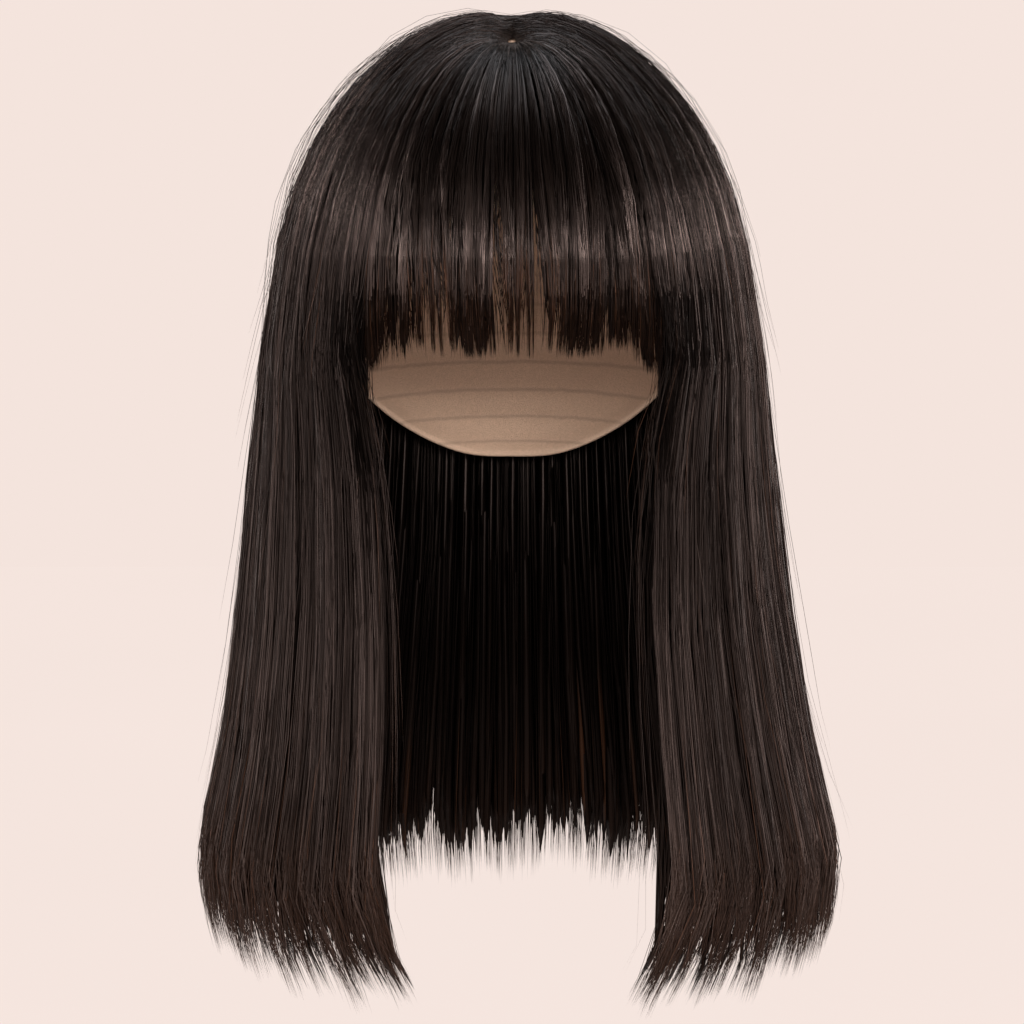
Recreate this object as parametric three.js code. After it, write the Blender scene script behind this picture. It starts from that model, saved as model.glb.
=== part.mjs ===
// A long straight wig with a full fringe, in the form that it keeps when worn: a hollow net cap, a
// skin-coloured patch along the parting on its crown, and four falls of hair in locks that leave the parting
// and hang.
// Millimetres. +Z is up, the fringe is towards -Y, and the wearer's left is +X.
// The origin is where the top of the head meets the inside of the cap.
import * as THREE from "three";
import { mergeVertices } from "three/addons/utils/BufferGeometryUtils.js";

// The head that the cap fits is an ellipsoid with its top at the origin.
const HEAD = { halfWidth: 76, halfLength: 97, height: 100 };

// The cap is a thin wall. Its rim is given by azimuth, 0 at the forehead and 180 at the nape, and by the
// angle down from the top of the head.
const CAP_WALL = 1.5;
const CAP_COLUMNS = 40;
const CAP_ROWS = 9;
const CAP_RIM = [
  { azimuth: 0, down: 68 },
  { azimuth: 50, down: 84 },
  { azimuth: 90, down: 100 },
  { azimuth: 110, down: 113 },
  { azimuth: 130, down: 126 },
  { azimuth: 155, down: 136 },
  { azimuth: 180, down: 138 },
];

// The parting runs along the crown. Hair starts a little to each side of it, and the patch shows between.
const PARTING = { front: -24, back: 30, hairFrom: 6, fringeFrom: 8 };
const PATCH = { halfWidth: 5.2, wall: 0.8, gap: 0.3, columns: 4, rows: 14, narrowest: 1.4 };

// Hair lies on the cap with a small gap, is thin at the parting and swells within a short distance of it. The
// crown's curve is an arc of an ellipse, and turn is the angle that it has turned through at the fall's start.
const HAIR_GAP = 1.2;
const ROOT_THICKNESS = 2.5;
const SWELL_LENGTH = 8;
const CROWN = [
  { azimuth: 0, swell: 1.5, turn: 84 },
  { azimuth: 45, swell: 6, turn: 78 },
  { azimuth: 85, swell: 11.5, turn: 76 },
  { azimuth: 130, swell: 7, turn: 76 },
  { azimuth: 180, swell: 5, turn: 78 },
];
const CROWN_ROWS = 8;

// The fall of the hair below the crown, by distance under the top of the head: half width, reach to the front
// and reach to the back of its outer and inner faces, and the azimuth of the front edges beside the face.
// The first two inner rows lie on the cap.
const FALL = [
  { drop: 80, width: 94.8, front: 104, back: 111, inWidth: 77.2, inFront: 97.8, inBack: 97.8, edge: 38.2 },
  { drop: 100, width: 98.6, front: 103, back: 113, inWidth: 78.7, inFront: 99.7, inBack: 99.7, edge: 38.2 },
  { drop: 125, width: 102.8, front: 97, back: 114, inWidth: 81, inFront: 90, inBack: 98.5, edge: 37.2 },
  { drop: 150, width: 106, front: 88, back: 114, inWidth: 84, inFront: 74, inBack: 90, edge: 32.5 },
  { drop: 172, width: 108.4, front: 83, back: 113, inWidth: 86, inFront: 69, inBack: 77, edge: 30.5 },
  { drop: 190, width: 110, front: 80, back: 112, inWidth: 88, inFront: 66, inBack: 70, edge: 29 },
  { drop: 230, width: 114.2, front: 79, back: 111, inWidth: 93, inFront: 65, inBack: 73, edge: 27 },
  { drop: 275, width: 119, front: 80, back: 112, inWidth: 100, inFront: 66, inBack: 79, edge: 25.3 },
  { drop: 305, width: 125.5, front: 82, back: 115, inWidth: 107, inFront: 67, inBack: 86, edge: 24.5 },
  { drop: 335, width: 130.5, front: 83, back: 117, inWidth: 112, inFront: 68, inBack: 92, edge: 24 },
  { drop: 380, width: 123, front: 80, back: 113, inWidth: 107, inFront: 67, inBack: 95, edge: 22.3 },
];
const HEM_DROP = FALL.at(-1).drop;
const FRINGE_DROP = 115;
const FRINGE_ROWS = [86];
const FRINGE_EDGE = 36.2;
const BACK_EDGE = 110;
const PANEL_GAP = 0.6;

// The share of its thickness that a fall keeps at its tips and at a free edge, and the least height of a tip
// below the row above it.
const TIP_SHARE = 0.4;
const EDGE_SHARE = 0.4;
const SHORTEST_TIP = 1;

// The locks of each fall in order round the head: share of the width, depth of the groove before the lock,
// how far its tip stays above the hem, and how far the notch before it reaches up. A row with no width is the
// fall's far edge.
const FRINGE_LOCKS = [
  { width: 9, groove: 0.4, tip: 3, notch: 3 },
  { width: 6, groove: 1.2, tip: 2, notch: 14 },
  { width: 7, groove: 1.2, tip: 0, notch: 19 },
  { width: 6, groove: 1.4, tip: 2, notch: 21 },
  { width: 14, groove: 1.6, tip: 0, notch: 24 },
  { width: 8, groove: 1.6, tip: 1, notch: 22 },
  { width: 8, groove: 1.0, tip: 0, notch: 18 },
  { width: 13, groove: 1.8, tip: 1, notch: 26 },
  { width: 13, groove: 1.0, tip: 0, notch: 15 },
  { width: 16, groove: 1.6, tip: 2, notch: 22 },
  { width: 0, groove: 0.4, tip: 3, notch: 3 },
];
const SIDE_LOCKS = [
  { width: 10, groove: 0.6, tip: 3, notch: 10 },
  { width: 14, groove: 1.6, tip: 0, notch: 26 },
  { width: 11, groove: 2.2, tip: 3, notch: 33 },
  { width: 15, groove: 1.4, tip: 4, notch: 26 },
  { width: 12, groove: 2.4, tip: 9, notch: 38 },
  { width: 10, groove: 1.6, tip: 13, notch: 33 },
  { width: 13, groove: 2.0, tip: 12, notch: 38 },
  { width: 11, groove: 1.6, tip: 10, notch: 34 },
  { width: 0, groove: 0.8, tip: 9, notch: 30 },
];
const BACK_LOCKS = [
  { width: 10, groove: 0.8, tip: 9, notch: 30 },
  { width: 13, groove: 2.0, tip: 6, notch: 32 },
  { width: 11, groove: 1.6, tip: 8, notch: 28 },
  { width: 14, groove: 2.2, tip: 4, notch: 36 },
  { width: 10, groove: 1.4, tip: 7, notch: 27 },
  { width: 12, groove: 2.0, tip: 5, notch: 34 },
  { width: 11, groove: 1.6, tip: 3, notch: 30 },
  { width: 14, groove: 2.2, tip: 6, notch: 37 },
  { width: 10, groove: 1.4, tip: 5, notch: 28 },
  { width: 13, groove: 2.0, tip: 8, notch: 34 },
  { width: 11, groove: 1.6, tip: 7, notch: 30 },
  { width: 0, groove: 0.8, tip: 9, notch: 30 },
];
const LOCK_CRESTS = [0.34, 0.66];

// Vertices closer than this are one.
const WELD_DISTANCE = 0.001;

const { lerp, degToRad, smoothstep } = THREE.MathUtils;

// A table's row at a value between two of its rows.
function rowAt(table, by, value) {
  const next = table.findIndex((row) => row[by] >= value);
  if (next < 0) return table.at(-1);
  if (next === 0) return table[0];
  const [before, after] = [table[next - 1], table[next]];
  const share = (value - before[by]) / (after[by] - before[by]);
  const between = (name) => [name, lerp(before[name], after[name], share)];
  return Object.fromEntries(Object.keys(before).map(between));
}

// The height of the head's upper half over a point, with the head grown by a margin.
function domeHeight(x, y, margin) {
  const across = x / (HEAD.halfWidth + margin);
  const along = y / (HEAD.halfLength + margin);
  return (HEAD.height + margin) * Math.sqrt(Math.max(0, 1 - across ** 2 - along ** 2)) - HEAD.height;
}

// A point of a level outline that is half an ellipse in front of the ears and half a deeper one behind them.
function outlinePoint(width, front, back, azimuth) {
  const forward = Math.cos(degToRad(azimuth));
  return new THREE.Vector2(width * Math.sin(degToRad(azimuth)), -forward * (forward > 0 ? front : back));
}

// Moves each vertex of a geometry to place(u, v, side), closes its seams and drops the faces that collapse.
function bent(geometry, coordinates, place) {
  const moved = new THREE.BufferGeometry().setIndex(geometry.index);
  const points = [];
  for (let i = 0; i < geometry.attributes.position.count; i++) {
    points.push(...place(...coordinates(i)).toArray());
  }
  moved.setAttribute("position", new THREE.Float32BufferAttribute(points, 3));
  const welded = mergeVertices(moved, WELD_DISTANCE);
  const faces = [];
  for (let i = 0; i < welded.index.count; i += 3) {
    const [a, b, c] = [0, 1, 2].map((k) => welded.index.getX(i + k));
    if (a !== b && b !== c && c !== a) faces.push(a, b, c);
  }
  welded.setIndex(faces);
  welded.computeVertexNormals();
  return welded;
}

// A closed wall, bent from a flat box: u runs along its columns, v down its rows, and side is 0 on the outer
// face and 1 on the inner one.
function wallGeometry(columns, rows, place) {
  const box = new THREE.BoxGeometry(1, 1, 1, columns, rows, 1);
  const at = box.attributes.position;
  return bent(box, (i) => [at.getX(i) + 0.5, 0.5 - at.getY(i), at.getZ(i) > 0 ? 0 : 1], place);
}

// The cap: a closed profile turned about the vertical, out to the rim and back, and fitted to the head.
function capGeometry() {
  const last = 2 * CAP_ROWS + 1;
  const profile = Array.from({ length: last + 1 }, (_, i) => new THREE.Vector2(i, -i));
  const turned = new THREE.LatheGeometry(profile, CAP_COLUMNS);
  const { uv } = turned.attributes;
  const point = (u, v) => {
    const step = Math.round(v * last);
    const inside = step <= CAP_ROWS;
    const azimuth = 360 * u;
    const rim = rowAt(CAP_RIM, "azimuth", fromForehead(azimuth)).down;
    const down = degToRad((rim * (inside ? step : last - step)) / CAP_ROWS);
    const margin = inside ? 0 : CAP_WALL;
    const reach = HEAD.halfLength + margin;
    const level = outlinePoint(HEAD.halfWidth + margin, reach, reach, azimuth).multiplyScalar(Math.sin(down));
    return new THREE.Vector3(level.x, level.y, (HEAD.height + margin) * Math.cos(down) - HEAD.height);
  };
  return bent(turned, (i) => [uv.getX(i), uv.getY(i)], point);
}

// The patch: a thin strip with round ends that lies on the cap along the parting.
function patchGeometry() {
  const { halfWidth, wall, gap, narrowest } = PATCH;
  const ends = [PARTING.front - halfWidth, PARTING.back + halfWidth];
  return wallGeometry(PATCH.columns, PATCH.rows, (u, v, side) => {
    const y = lerp(ends[0], ends[1], 1 - v);
    const past = Math.max(PARTING.front - y, y - PARTING.back, 0);
    const x = Math.max(Math.sqrt(Math.max(0, halfWidth ** 2 - past ** 2)), narrowest) * (2 * u - 1);
    const margin = CAP_WALL + gap + (side ? 0 : wall);
    return new THREE.Vector3(x, y, domeHeight(x, y, margin));
  });
}

// How a fall's columns lie: each lock has a groove before it and two crests.
function lockColumns(locks, mirrored) {
  const total = locks.reduce((sum, lock) => sum + lock.width, 0);
  const columns = [];
  let start = 0;
  for (const { width, groove, tip, notch } of locks) {
    columns.push({ share: start / total, groove, rise: notch });
    for (const crest of width > 0 ? LOCK_CRESTS : []) {
      columns.push({ share: (start + crest * width) / total, groove: 0, rise: tip });
    }
    start += width;
  }
  return mirrored ? columns.reverse().map((column) => ({ ...column, share: 1 - column.share })) : columns;
}

// The angle between an azimuth and the forehead, on either side of the head.
function fromForehead(azimuth) {
  return Math.abs(THREE.MathUtils.euclideanModulo(azimuth + 180, 360) - 180);
}

// The point of the parting that hair at this azimuth is combed from.
function partingY(azimuth) {
  return lerp(PARTING.front, PARTING.back, smoothstep(fromForehead(azimuth), FRINGE_EDGE, BACK_EDGE));
}

// A point on the crown, on the way from the parting at 0 down to the first row of the fall at 1.
function crownPoint(azimuth, way, groove, inside, from) {
  const first = FALL[0];
  const { swell, turn } = rowAt(CROWN, "azimuth", fromForehead(azimuth));
  const angle = degToRad(turn * way);
  const out = Math.sin(angle) / Math.sin(degToRad(turn));
  const down = (1 - Math.cos(angle)) / (1 - Math.cos(degToRad(turn)));
  const rootY = partingY(azimuth);
  const end = inside
    ? outlinePoint(first.inWidth, first.inFront, first.inBack, azimuth)
    : outlinePoint(first.width, first.front, first.back, azimuth);
  const line = end.sub(new THREE.Vector2(0, rootY));
  const inset = groove * Math.min(1, 2 * way);
  const reach = from + (line.length() - from) * out - inset * Math.sin(angle);
  line.setLength(reach);
  const [x, y] = [line.x, line.y + rootY];
  if (inside) return new THREE.Vector3(x, y, domeHeight(x, y, CAP_WALL + HAIR_GAP));
  const top = domeHeight(0, rootY, CAP_WALL) + ROOT_THICKNESS + swell;
  const dip = swell * Math.exp((from - reach) / SWELL_LENGTH);
  const z = top - (top + first.drop) * down - dip - inset * Math.cos(angle);
  return new THREE.Vector3(x, y, z);
}

// A point on the hanging part, at a distance under the top of the head.
function fallPoint(azimuth, drop, groove, inside) {
  const row = rowAt(FALL, "drop", drop);
  const level = inside
    ? outlinePoint(row.inWidth, row.inFront, row.inBack, azimuth)
    : outlinePoint(row.width - groove, row.front - groove, row.back - groove, azimuth);
  return new THREE.Vector3(level.x, level.y, -drop);
}

// A fall of hair in locks. azimuths(share, drop) turns a column's place into an azimuth at each height,
// hangRows lists the drops that its hanging part passes, and freeEdges says which of its edges stand free.
function fallGeometry({ locks, mirrored, azimuths, hangRows, hem, from, freeEdges }) {
  const columns = lockColumns(locks, mirrored);
  const rows = CROWN_ROWS + hangRows.length + 1;
  const last = columns.length - 1;
  return wallGeometry(last, rows, (u, v, side) => {
    const index = Math.round(u * last);
    const row = Math.round(v * rows);
    const { share, groove, rise } = columns[index];
    const drops = [...Array(CROWN_ROWS + 1).fill(FALL[0].drop), ...hangRows, hem - rise];
    const drop = Math.min(drops[row], row < rows ? hem - rise - SHORTEST_TIP : hem);
    const azimuth = azimuths(share, drop);
    const facePoint = (inside) =>
      row <= CROWN_ROWS
        ? crownPoint(azimuth, row / CROWN_ROWS, groove, inside, from)
        : fallPoint(azimuth, drop, groove, inside);
    const free = drop > FRINGE_DROP && ((index === 0 && freeEdges[0]) || (index === last && freeEdges[1]));
    const kept = (free ? EDGE_SHARE : 1) * (row === rows ? TIP_SHARE : 1);
    return facePoint(false).lerp(facePoint(true), 0.5 + (side ? 0.5 : -0.5) * kept);
  });
}

// The drops of the table's rows between the crown and the hem.
const SIDE_ROWS = FALL.slice(1, -1).map((row) => row.drop);

function fringeGeometry() {
  return fallGeometry({
    locks: FRINGE_LOCKS,
    azimuths: (share) => lerp(-FRINGE_EDGE, FRINGE_EDGE, share),
    hangRows: FRINGE_ROWS,
    hem: FRINGE_DROP,
    from: PARTING.fringeFrom,
    freeEdges: [false, false],
  });
}

// The side falls start at the front edge beside the face. The wearer's right one is the left one mirrored.
function sideGeometry(side) {
  const azimuths = (share, drop) => lerp(rowAt(FALL, "drop", drop).edge, BACK_EDGE - PANEL_GAP, share);
  return fallGeometry({
    locks: SIDE_LOCKS,
    mirrored: side < 0,
    azimuths: side > 0 ? azimuths : (share, drop) => -azimuths(1 - share, drop),
    hangRows: SIDE_ROWS,
    hem: HEM_DROP,
    from: PARTING.hairFrom,
    freeEdges: [side > 0, side < 0],
  });
}

function backGeometry() {
  const edge = BACK_EDGE + PANEL_GAP;
  return fallGeometry({
    locks: BACK_LOCKS,
    azimuths: (share) => lerp(edge, 360 - edge, share),
    hangRows: SIDE_ROWS,
    hem: HEM_DROP,
    from: PARTING.hairFrom,
    freeEdges: [false, false],
  });
}

const hairFinish = { color: 0x1d1614, roughness: 0.42, metalness: 0 };
const capFinish = { color: 0xbca28d, roughness: 0.9, metalness: 0 };
const patchFinish = { color: 0xb98d6e, roughness: 0.8, metalness: 0 };

function piece(name, geometry, finish) {
  const mesh = new THREE.Mesh(geometry, new THREE.MeshStandardMaterial(finish));
  mesh.name = name;
  return mesh;
}

const wig = new THREE.Group();
wig.add(
  piece("cap", capGeometry(), capFinish),
  piece("parting_patch", patchGeometry(), patchFinish),
  piece("fringe", fringeGeometry(), hairFinish),
  piece("side_hair_left", sideGeometry(1), hairFinish),
  piece("side_hair_right", sideGeometry(-1), hairFinish),
  piece("back_hair", backGeometry(), hairFinish),
);

export default wig;
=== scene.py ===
"""A long straight wig with a full fringe: strands of hair on a net cap, with a skin-coloured parting."""

import math

import bmesh
import bpy
import numpy as np
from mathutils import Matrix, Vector


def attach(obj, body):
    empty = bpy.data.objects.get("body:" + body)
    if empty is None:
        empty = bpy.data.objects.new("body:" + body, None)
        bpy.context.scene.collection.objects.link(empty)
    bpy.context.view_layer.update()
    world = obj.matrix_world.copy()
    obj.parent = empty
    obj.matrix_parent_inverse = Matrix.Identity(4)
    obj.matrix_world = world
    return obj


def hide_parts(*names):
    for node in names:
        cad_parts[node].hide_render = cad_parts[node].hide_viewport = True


bl_info = {
    "name": "Straight Wig with Fringe",
    "version": (1, 0, 0),
    "blender": (4, 5, 0),
    "location": "View3D > Sidebar > Wig",
    "description": "Lays the hair of a long straight wig, strand by strand, over its net cap",
    "category": "Add Mesh",
}

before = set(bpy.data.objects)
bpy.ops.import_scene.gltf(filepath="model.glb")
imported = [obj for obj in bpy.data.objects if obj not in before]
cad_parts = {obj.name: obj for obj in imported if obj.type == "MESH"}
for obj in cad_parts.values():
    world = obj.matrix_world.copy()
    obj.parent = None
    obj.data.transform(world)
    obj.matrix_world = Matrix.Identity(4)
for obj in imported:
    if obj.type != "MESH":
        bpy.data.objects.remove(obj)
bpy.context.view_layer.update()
BODY = "root"

# The head that the cap fits is an ellipsoid with its top at the origin.
HEAD_HALF_WIDTH = 0.076
HEAD_HALF_LENGTH = 0.097
HEAD_HEIGHT = 0.100

# The cap's rim, by azimuth from the forehead and by angle down from the top of the head.
CAP_WALL = 0.0015
CAP_RIM = {
    "azimuth": (0, 50, 90, 110, 130, 155, 180),
    "down": (68, 84, 100, 113, 126, 136, 138),
}

# The parting on the crown, how the hair rises from it, how far behind its front the hair closes over it, and
# the azimuths between the fringe and the hair beside it.
PARTING_FRONT = -0.024
PARTING_BACK = 0.030
PATCH_HALF_WIDTH = 0.0052
PATCH_WALL = 0.0008
PATCH_GAP = 0.0003
HAIR_GAP = 0.0012
ROOT_THICKNESS = 0.0025
ROOT_SINK = 0.0018
SWELL_LENGTH = (0.040, 0.0080)
CLOSED_DIP = 0.5
FRINGE_ROOT = (0.0036, 0.0060)
OPEN_ROOT = (0.0008, 0.0022)
CLOSED_ROOT = (-0.0060, 0.0020)
CLOSES_BEHIND = (0.002, 0.009)
BESIDE_FRINGE = (15.0, 60.0)
CROWN = {
    "azimuth": (0, 45, 85, 130, 180),
    "swell": (0.0015, 0.006, 0.0115, 0.007, 0.005),
    "turn": (84, 78, 76, 76, 78),
}

# The hanging hair, by distance under the top of the head: the outer and inner outline at that level, and the
# azimuth of the free edges beside the face.
FALL = {
    "drop": (0.080, 0.100, 0.125, 0.150, 0.172, 0.190, 0.230, 0.275, 0.305, 0.335, 0.380),
    "width": (0.0948, 0.0986, 0.1028, 0.106, 0.1084, 0.110, 0.1142, 0.119, 0.1255, 0.1305, 0.123),
    "front": (0.104, 0.103, 0.097, 0.088, 0.083, 0.080, 0.079, 0.080, 0.082, 0.083, 0.080),
    "back": (0.111, 0.113, 0.114, 0.114, 0.113, 0.112, 0.111, 0.112, 0.115, 0.117, 0.113),
    "inner_width": (0.0772, 0.0787, 0.081, 0.084, 0.086, 0.088, 0.093, 0.100, 0.107, 0.112, 0.107),
    "inner_front": (0.0978, 0.0997, 0.090, 0.074, 0.069, 0.066, 0.065, 0.066, 0.067, 0.068, 0.067),
    "inner_back": (0.0978, 0.0997, 0.0985, 0.090, 0.077, 0.070, 0.073, 0.079, 0.086, 0.092, 0.095),
    "edge": (38.2, 38.2, 37.2, 32.5, 30.5, 29, 27, 25.3, 24.5, 24, 22.3),
}
FIRST_DROP = FALL["drop"][0]
FRINGE_EDGE = 36.2
BACK_EDGE = 110

# The locks of each fall in order from its first edge: share of the width, depth of the groove before the
# lock, how far its tips stay above the hem and how full it is. A row with no width is the far edge.
LOCKS = {
    "fringe": {
        "width": (9, 6, 7, 6, 14, 8, 8, 13, 13, 16, 0),
        "groove": (0.0004, 0.0012, 0.0012, 0.0014, 0.0016, 0.0016, 0.0010, 0.0018, 0.0010, 0.0016, 0.0004),
        "tip": (0.003, 0.002, 0.0, 0.002, 0.0, 0.001, 0.0, 0.001, 0.0, 0.002, 0.003),
        "full": (1.0, 0.55, 0.5, 0.55, 1.0, 0.5, 0.5, 0.7, 1.0, 1.0, 1.0),
    },
    "side": {
        "width": (10, 14, 11, 15, 12, 10, 13, 11, 0),
        "groove": (0.0006, 0.0016, 0.0022, 0.0014, 0.0024, 0.0016, 0.0020, 0.0016, 0.0008),
        "tip": (0.002, 0.0, 0.002, 0.005, 0.011, 0.016, 0.017, 0.014, 0.012),
        "full": (1.0,) * 9,
    },
    "back": {
        "width": (10, 13, 11, 14, 10, 12, 11, 14, 10, 13, 11, 0),
        "groove": (
            0.0008, 0.0020, 0.0016, 0.0022, 0.0014, 0.0020, 0.0016, 0.0022, 0.0014, 0.0020, 0.0016, 0.0008,
        ),
        "tip": (0.012, 0.008, 0.009, 0.005, 0.007, 0.005, 0.003, 0.006, 0.005, 0.008, 0.008, 0.012),
        "full": (1.0,) * 12,
    },
}
LOCK_CRESTS = (0.34, 0.66)

# Where the tips of each lock of the fringe lie across the forehead. The gaps between them stay open.
FRINGE_TIPS = {
    "from": (-0.0625, -0.0438, -0.0367, -0.0284, -0.0212, -0.0042, 0.0021, 0.0140, 0.0266, 0.0450),
    "to": (-0.0446, -0.0374, -0.0299, -0.0231, -0.0090, 0.0010, 0.0090, 0.0262, 0.0390, 0.0625),
}

# One step along a strand is the whole crown, and then FALL_STEP of the fall at a time. Its points are closer
# together at the root, and each is shifted by up to a share of its step.
CROWN_LENGTH = 0.15
FALL_STEP = 0.08
ROOT_CROWDING = 1.25
POINT_SHIFT = 0.3

# How the strands spread: how far past the edges of their fall, and how many cross their neighbours and how
# far.
EDGE_OVERLAP = 0.05
CROSSING = {"share": 0.12, "reach": 0.004}

# Wisps and tufts: how round they are, how much loose strands follow them, the share of the wisps that catch
# the light, how far a tuft draws together on the crown, over which length it does so at the hem and how much
# shorter its sides are there.
WISP_ROUNDING = 0.0008
TUFT_ROUNDING = 0.0015
LOOSE_GATHERED = 0.35
LIT_SHARE = 0.35
TUFT_CROWN_PULL = 0.30
TUFT_HEM_LENGTH = 0.050
TUFT_HEM_NOTCH = 0.018

# Tips: the most that a strand is shorter by itself, the spread of the shortening in thin locks, the least that
# hair hangs, and how much longer the fringe is towards its ends.
MOST_SHORT = 0.03
THIN_SHORT_SPREAD = (0.4, 1.0)
LEAST_HANG = 0.006
FRINGE_END = {"share": 0.10, "longer": 0.010}

# The fringe turns in from a drop on towards a depth, less at its ends than in its middle, so that its tips
# turn out of the light; below a drop of their own they also take the darker, duller finish as painted shade.
# Beside them the side falls take the same painted shade from the end of the crown on, all strands over the
# first part of the share that takes it and fewer after it.
TURN_IN = {"from": 0.076, "depth": 0.95, "ends": 0.25, "middle": 0.9, "fades": (0.15, 0.5)}
PAINTED_SHADE_DROPS = (0.084, 0.097)
PAINTED_SHADE_FROM = (0.96, 1.2)
PAINTED_SHADE_FULL = 0.2

# The free edge beside the face: over which drops and how far the overlap past it narrows, the share of the
# fall whose strands stray there, over which drops and how far, how far the layers that start further in come
# back to it, where it runs from under the fringe to its own place, and how it is rounded off.
FREE_EDGE = {
    "narrows": (0.085, 0.115), "narrow": 0.25,
    "share": 0.10, "opens": (0.090, 0.140), "stray": 0.014, "loose_stray": -0.10,
    "comes_back": 0.7, "back_over": (0.17, 0.25), "under_fringe": -0.08, "clears": (0.095, 0.125),
    "round_share": 0.09, "round": 0.55, "round_depth": 0.5, "round_over": (0.110, 0.150),
}

# The hem of a side fall stands aside below some drops, less towards the back, and its tips sweep in over a
# length, more near the face than far from it.
ASIDE = {"drops": (0.17, 0.34), "fades": (0.55, 1.0)}
SWEEP = {"length": 0.062, "near": 1.4, "far": 0.1, "across": (0.055, 0.125)}

# Loose strands: the last place where one leaves the hair, how far it drifts against its stand-off, and those
# that bow up over the crown instead.
LOOSE_LEAVES = 0.85
LOOSE_DRIFT = 0.6
BOW = {"share": 0.3, "rise": 0.7, "length": 0.5}

# How near to the cap hair lies above the drops where the cap ends, and hair rooted low on the crown, which
# starts next to the cap.
NEXT_TO_CAP = 0.78
CAP_ENDS = (0.15, 0.19)
LOW_ROOT = {"from": 0.35, "depth": 0.97, "rises": 0.35}

# Looks of single strands: the spread of tone and thickness, the tone of coppery ones, how many more of them
# are coppery in a thin lock, as painted light shining through it, and how many more if loose.
STRAND_TONE = 0.25
STRAND_THICKNESS = (0.7, 1.25)
COPPER_TONE = (0.7, 0.97)
PAINTED_GLOW_IN_THIN_LOCKS = 0.5
LOOSE_COPPER = 0.15

# The finishes of the hair in order: how light it is, and its gloss against the common one. The last is
# darker and duller: painted shade for the hair in the depth, at the turned tips of the fringe and beside them.
FINISHES = {"outer_hair": (1.0, 0.7), "lit_hair": (1.0, 1.8), "painted_shade_hair": (0.5, 0.15)}
# The finish that paints shade, darker and duller than the others.
PAINTED_SHADE_FINISH = 2

# Along a strand: where its own tone comes to show and how much of it shows at the root, the tip painted
# lighter and coppery as light shining through the thin ends, and the lighter root. BROWN_TONE is the tone of
# the common lighter strands.
TONE_SHOWS = {"span": (0.55, 0.85), "root": 0.22}
PAINTED_TIP_GLOW = {"span": (0.85, 1.0), "share": 0.3}
LIGHT_ROOT = {"span": (0.0, 0.018), "share": 0.9}
BROWN_TONE = 0.65

# A strand is a tube with few sides. Its map holds its tone across and its length along.
SIDES = 3
ROOT_TAPER = 0.6
ROOT_TAPER_LENGTH = 0.08
TIP_TAPER = 0.35
FIRST_CORNER = math.radians(30.0)
UV_WIDTH = 0.012
STRAND_MAP = "OFBake"
SEWN_ROW = "sewn_row"

# Layers of strands: how many, from where across the fall, where along the crown they are rooted, how deep in
# the hair they lie from the outer face at 0 to the inner face at 1, thickness against a strand's, height
# against width, how far they stand off loosely, how much shorter than the hem they end and by how much that
# differs, how strongly thin locks thin them and how much shorter they are there, whether they take the
# darker, duller finish as painted shade, where along the strand the tip starts to taper, and the points on
# the crown and on the fall.
TOP = {
    "from": -EDGE_OVERLAP, "start": (0.0, 0.0), "size": 1.0, "flat": 1.0, "loose": 0.0, "short": 0.0,
    "ragged": 0.0, "thinned": 1, "thin_short": 0.0, "deep": False, "taper": 0.85,
}
LOW = {**TOP, "start": (0.45, 0.8), "thinned": 2, "thin_short": 0.055, "deep": True}
INNER = {**LOW, "start": (0.85, 1.0), "size": 1.1}
BODY_LOCK = {
    **TOP, "start": (0.03, 0.03), "size": 9.0, "flat": 0.2, "short": 0.003, "thinned": 0, "thin_short": 0.10,
    "deep": True, "taper": 0.94,
}
STRAY = {**TOP, "start": (0.0, 0.3), "size": 0.42, "loose": 0.009, "ragged": 0.27}
LAYERS = {
    "fringe": (
        {**TOP, "count": 1250, "depth": (0.0, 0.2), "points": (9, 6)},
        {**LOW, "count": 750, "depth": (0.2, 0.6), "points": (5, 6)},
        {**INNER, "count": 400, "start": (0.6, 0.9), "depth": (0.6, 1.0), "points": (4, 5)},
        {**BODY_LOCK, "count": 90, "depth": (0.45, 0.7), "size": 7.0, "points": (8, 4)},
        {**STRAY, "count": 460, "depth": (0.0, 0.5), "size": 0.55, "loose": 0.002, "ragged": 0.014,
         "thinned": 0, "points": (6, 8)},
    ),
    "side": (
        {**TOP, "count": 1300, "depth": (0.0, 0.10), "points": (9, 9)},
        {**BODY_LOCK, "count": 175, "from": 0.01, "depth": (0.2, 0.4), "points": (8, 7)},
        {**STRAY, "count": 330, "depth": (-0.02, 0.05), "points": (7, 7)},
    ),
    "side_under": (
        {**LOW, "count": 850, "from": 0.0, "depth": (0.1, 0.45), "points": (4, 8)},
        {**INNER, "count": 650, "from": 0.10, "depth": (0.45, 1.0), "points": (2, 8)},
        {**BODY_LOCK, "count": 140, "from": 0.11, "start": (0.85, 1.0), "depth": (0.55, 0.9),
         "points": (2, 7)},
    ),
    "back": (
        {**TOP, "count": 1300, "depth": (0.0, 0.1), "size": 1.15, "points": (8, 8)},
        {**BODY_LOCK, "count": 260, "depth": (0.2, 0.4), "size": 12.0, "short": 0.010, "ragged": 0.012,
         "points": (8, 7)},
        {**STRAY, "count": 120, "depth": (-0.02, 0.05), "points": (8, 7)},
    ),
    "back_under": (
        {**LOW, "count": 800, "depth": (0.1, 0.45), "size": 1.15, "points": (4, 7)},
        {**INNER, "count": 900, "depth": (0.55, 1.0), "size": 1.15, "points": (2, 7)},
        {**BODY_LOCK, "count": 270, "start": (0.85, 1.0), "depth": (0.55, 0.9), "size": 12.0, "short": 0.010,
         "ragged": 0.012, "points": (2, 7)},
    ),
}


def smooth(value, low, high):
    """0 below low, 1 above high, and a smooth rise between."""
    share = np.clip((value - low) / (high - low), 0.0, 1.0)
    return share * share * (3.0 - 2.0 * share)


def lerp(start, end, share):
    """The value at a share of the way from start to end."""
    return start + (end - start) * share


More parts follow.
